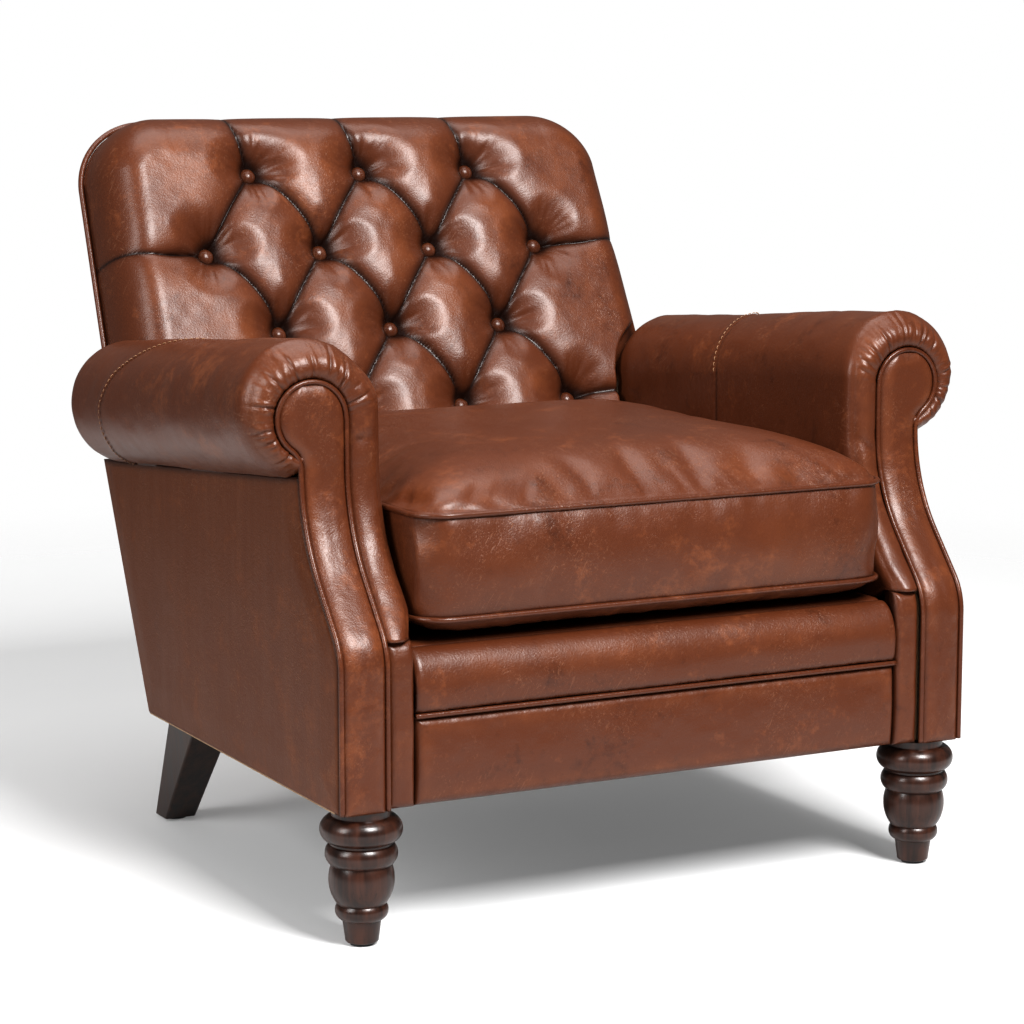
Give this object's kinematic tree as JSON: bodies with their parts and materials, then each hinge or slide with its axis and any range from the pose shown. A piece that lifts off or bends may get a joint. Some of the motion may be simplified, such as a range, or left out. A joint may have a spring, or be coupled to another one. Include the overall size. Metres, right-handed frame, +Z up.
{
  "type": "upholstered armchair",
  "caption": "Leather club armchair with deep-buttoned raked back, rolled arms set back on S-curved fronts, piped loose seat cushion and turned front legs.",
  "frame": {"origin": "on the floor, at the centre of the chair's outline", "axes": "+Z up, the chair faces -Y, +X to the right as seen from in front; mirror plane X = 0"},
  "size_m": [0.85, 0.8557, 0.7974],
  "materials": {
    "leather": "satin",
    "piping": "satin",
    "beech": "matte",
    "board": "matte",
    "leg_wood": "satin",
    "dark_leg_wood": "satin",
    "foam": "matte",
    "hessian": "matte",
    "black_cloth": "matte",
    "steel": "satin",
    "brass": "satin",
    "glide_plastic": "matte"
  },
  "bodies": {
    "chair": {"back_buttons": "piping", "back_cover": "leather", "back_foam": "foam", "back_lower_rail": "beech", "back_top_rail": "beech", "back_webbing": "hessian", "button_twines": "hessian", "dust_cover": "black_cloth", "front_border_lower": "leather", "front_border_piping": "piping", "front_border_upper": "leather", "front_seat_rail": "beech", "left_arm_board": "beech", "left_arm_cover": "leather", "left_arm_facing": "leather", "left_arm_foam": "foam", "left_arm_post": "beech", "left_back_stile": "beech", "left_facing_piping": "piping", "left_front_leg": "leg_wood", "left_front_strip": "leather", "left_rear_leg": "dark_leg_wood", "left_seat_rail": "beech", "left_side_board": "board", "left_side_panel": "leather", "leg_bolts": "steel", "leg_glides": "glide_plastic", "leg_inserts": "steel", "outside_back_panel": "leather", "outside_back_piping": "piping", "rear_leg_blocks": "beech", "rear_seat_rail": "beech", "right_arm_board": "beech", "right_arm_cover": "leather", "right_arm_facing": "leather", "right_arm_foam": "foam", "right_arm_post": "beech", "right_back_stile": "beech", "right_facing_piping": "piping", "right_front_leg": "leg_wood", "right_front_strip": "leather", "right_rear_leg": "dark_leg_wood", "right_seat_rail": "beech", "right_side_board": "board", "right_side_panel": "leather", "seat_deck_pad": "foam", "seat_hessian": "hessian", "seat_springs": "steel", "spring_clips": "steel"},
    "cushion": {"cushion_cover": "leather", "cushion_core": "foam", "cushion_piping_top": "piping", "cushion_piping_bottom": "piping", "cushion_zip_tape": "black_cloth"},
    "zip_slider": {"cushion_zip_slider": "brass"}
  },
  "joints": [
    {"name": "cushion_lift", "type": "slide", "parent": "chair", "child": "cushion", "axis": [0, 0, 1], "range_m": [0, 0.35]},
    {"name": "zip_run", "type": "slide", "parent": "cushion", "child": "zip_slider", "axis": [1, 0, 0], "range_m": [0, 0.43]}
  ]
}
